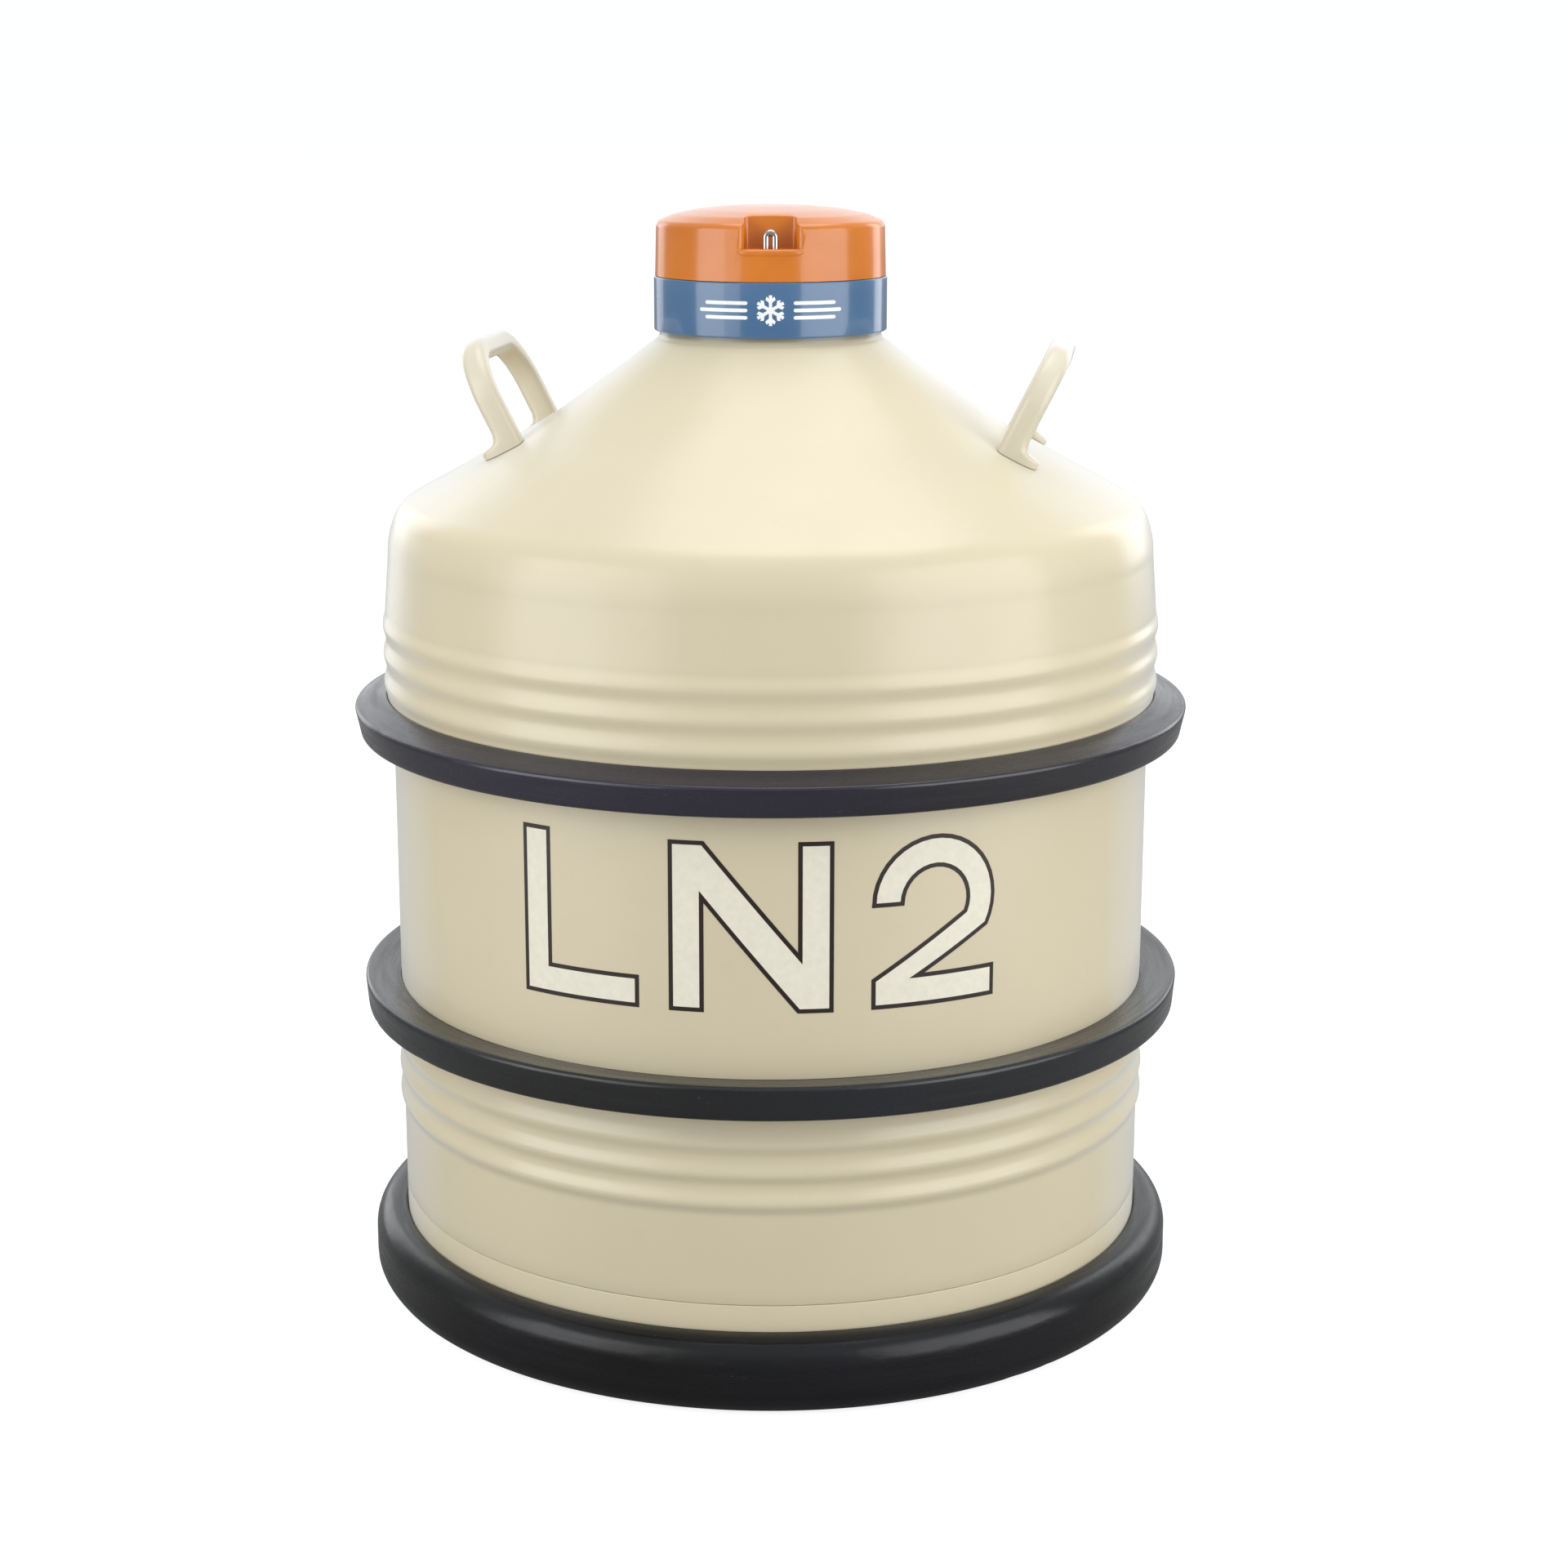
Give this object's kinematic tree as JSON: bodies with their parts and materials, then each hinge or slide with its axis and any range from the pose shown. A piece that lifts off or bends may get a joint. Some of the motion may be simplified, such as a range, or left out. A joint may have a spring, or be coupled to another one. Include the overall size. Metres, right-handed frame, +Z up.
{
  "type": "liquid nitrogen dewar",
  "caption": "Tall double-walled storage flask with a conical top, paired lifting handles, black bumper rings, a blue neck collar and a lift-off orange lid with a long foam plug.",
  "frame": {"origin": "centre of the foot ring's underside, on the floor", "axes": "+Z up along the neck axis; -Y is the front, where the lid's lock notch is; the handles stand at -X and +X"},
  "size_m": [0.5124, 0.5124, 0.668],
  "materials": {
    "cream_paint": "semi-gloss cream paint on aluminium",
    "cream_handles": "semi-gloss cream paint on cast aluminium",
    "black_rubber": "satin black rubber with fine moulding streaks",
    "orange_plastic": "gloss orange moulding",
    "blue_plastic": "gloss blue moulding",
    "chrome": "polished wire",
    "stainless_steel": "plain",
    "bare_aluminium": "as spun",
    "glass_laminate": "glass-fibre laminate",
    "aluminised_film": "wrapped aluminised film and glass paper",
    "adsorbent": "granules in a mesh bag",
    "white_plastic": "satin moulding",
    "plug_foam": "rigid foam",
    "nylon": "natural nylon",
    "seal_rubber": "matt",
    "black_plastic": "satin"
  },
  "bodies": {
    "vessel": {"adsorbent_pack": "adsorbent", "collar_screw_1": "stainless_steel", "collar_screw_2": "stainless_steel", "collar_screw_3": "stainless_steel", "collar_screw_4": "stainless_steel", "foot_ring": "black_rubber", "handle_left": "cream_handles", "handle_right": "cream_handles", "inner_vessel_lower": "bare_aluminium", "inner_vessel_upper": "bare_aluminium", "insulation_lower": "aluminised_film", "insulation_upper": "aluminised_film", "lock_staple": "chrome", "neck_band": "cream_paint", "neck_collar": "blue_plastic", "neck_flange": "bare_aluminium", "neck_shield_lower": "bare_aluminium", "neck_shield_upper": "bare_aluminium", "neck_tube": "glass_laminate", "outer_bottom_head": "cream_paint", "outer_cylinder": "cream_paint", "outer_dome": "cream_paint", "port_cap": "black_plastic", "port_plug": "bare_aluminium", "port_seal": "seal_rubber", "port_stub": "bare_aluminium", "roll_ring_middle": "black_rubber", "roll_ring_upper": "black_rubber", "support_cup": "bare_aluminium", "support_post": "glass_laminate"},
    "lid": {"lid_cap": "orange_plastic", "lid_plate": "white_plastic", "neck_plug": "plug_foam", "plug_stud": "nylon", "plug_washer": "nylon", "plug_nut_lower": "nylon", "plug_nut_upper": "nylon", "lid_screw_1": "stainless_steel", "lid_screw_2": "stainless_steel", "lid_screw_3": "stainless_steel"}
  },
  "joints": [
    {"name": "lid_lift", "type": "slide", "parent": "vessel", "child": "lid", "axis": [0, 0, 1], "range_m": [0, 0.165]}
  ]
}
